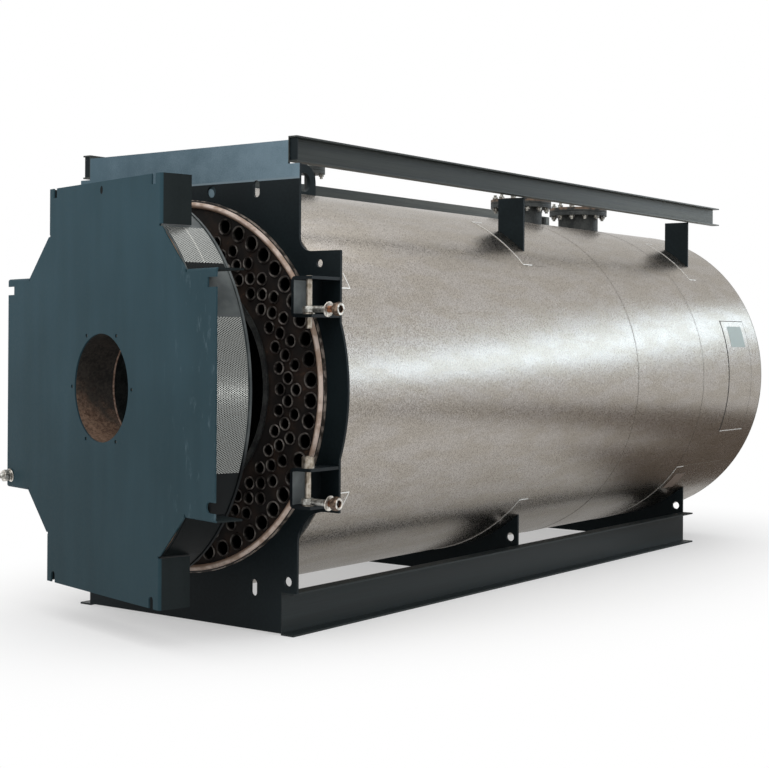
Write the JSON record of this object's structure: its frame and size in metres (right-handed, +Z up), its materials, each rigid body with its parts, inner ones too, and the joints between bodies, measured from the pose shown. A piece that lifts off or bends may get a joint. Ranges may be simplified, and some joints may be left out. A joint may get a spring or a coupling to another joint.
{
  "type": "industrial hot-water boiler",
  "caption": "Horizontal fire-tube boiler on a steel skid, its hinged front door ajar over rings of smoke tubes, in a round metal jacket.",
  "frame": {"origin": "on the floor under the front plate, in the boiler's middle plane, on the plate's front face", "axes": "+Z up, +Y from the front plate to the rear, +X to the right seen from the front"},
  "size_m": [2.141, 5.5286, 2.312],
  "materials": {
    "frame_paint": "satin dark blue-grey paint",
    "bracket_paint": "satin grey paint",
    "door_paint": "satin slate paint",
    "rail_steel": "mill-scale grey",
    "boiler_steel": "dull grey steel",
    "rusty_steel": "rusted",
    "rope": "woven, matt",
    "wool": "matt",
    "jacket_sheet": "galvanised, fine grain",
    "zinc": "dull zinc",
    "mesh_steel": "bright perforated sheet",
    "refractory": "rough, matt"
  },
  "bodies": {
    "boiler": {"front_plate": "frame_paint", "lower_rails": "rail_steel", "upper_rails": "rail_steel", "middle_saddle": "frame_paint", "rear_saddle": "frame_paint", "upper_bracket_mid": "frame_paint", "upper_bracket_rear": "frame_paint", "pressure_shell": "boiler_steel", "front_tube_plate": "rusty_steel", "furnace_tube": "boiler_steel", "furnace_mouth_ring": "boiler_steel", "boiler_core": "boiler_steel", "sealing_rope": "rope", "insulation": "wool", "jacket_front": "jacket_sheet", "jacket_middle": "jacket_sheet", "jacket_rear": "jacket_sheet", "rear_cover": "jacket_sheet", "flue_collar": "boiler_steel", "access_panel": "jacket_sheet", "supply_nozzle": "boiler_steel", "return_nozzle": "boiler_steel", "counter_flanges": "boiler_steel", "safety_nozzle": "boiler_steel", "gauge_socket": "boiler_steel", "lifting_lugs": "frame_paint", "upper_hinge_brackets": "bracket_paint", "lower_hinge_brackets": "bracket_paint", "hinge_pins": "zinc", "pin_washers": "zinc"},
    "door": {"door_cover": "door_paint", "door_drum": "bracket_paint", "door_ring": "bracket_paint", "door_lining": "refractory", "burner_block": "refractory", "lining_rim": "refractory", "burner_tube": "rusty_steel", "drum_mesh": "mesh_steel", "hinge_lugs": "bracket_paint", "left_bolt": "zinc"},
    "upper_slide": {"upper_spacer": "zinc"},
    "upper_swing": {"upper_bolt": "zinc", "upper_nut": "rusty_steel"},
    "lower_slide": {"lower_spacer": "zinc"},
    "lower_swing": {"lower_bolt": "zinc", "lower_nut": "rusty_steel"}
  },
  "joints": [
    {"name": "door_hinge", "type": "hinge", "parent": "boiler", "child": "door", "pos_m": [-0.93, -0.163, 1.14], "axis": [0, 0, -1], "range_deg": [-14, 76]},
    {"name": "upper_bolt_lift", "type": "slide", "parent": "boiler", "child": "upper_slide", "axis": [0, 0, -1], "range_m": [-0.104, 0]},
    {"name": "upper_bolt_swing", "type": "hinge", "parent": "upper_slide", "child": "upper_swing", "pos_m": [0.93, -0.163, 1.506], "axis": [0, 0, 1], "range_deg": [-90, 0]},
    {"name": "lower_bolt_lift", "type": "slide", "parent": "boiler", "child": "lower_slide", "axis": [0, 0, -1], "range_m": [-0.012, 0]},
    {"name": "lower_bolt_swing", "type": "hinge", "parent": "lower_slide", "child": "lower_swing", "pos_m": [0.93, -0.163, 0.6545], "axis": [0, 0, 1], "range_deg": [-90, 0]}
  ]
}
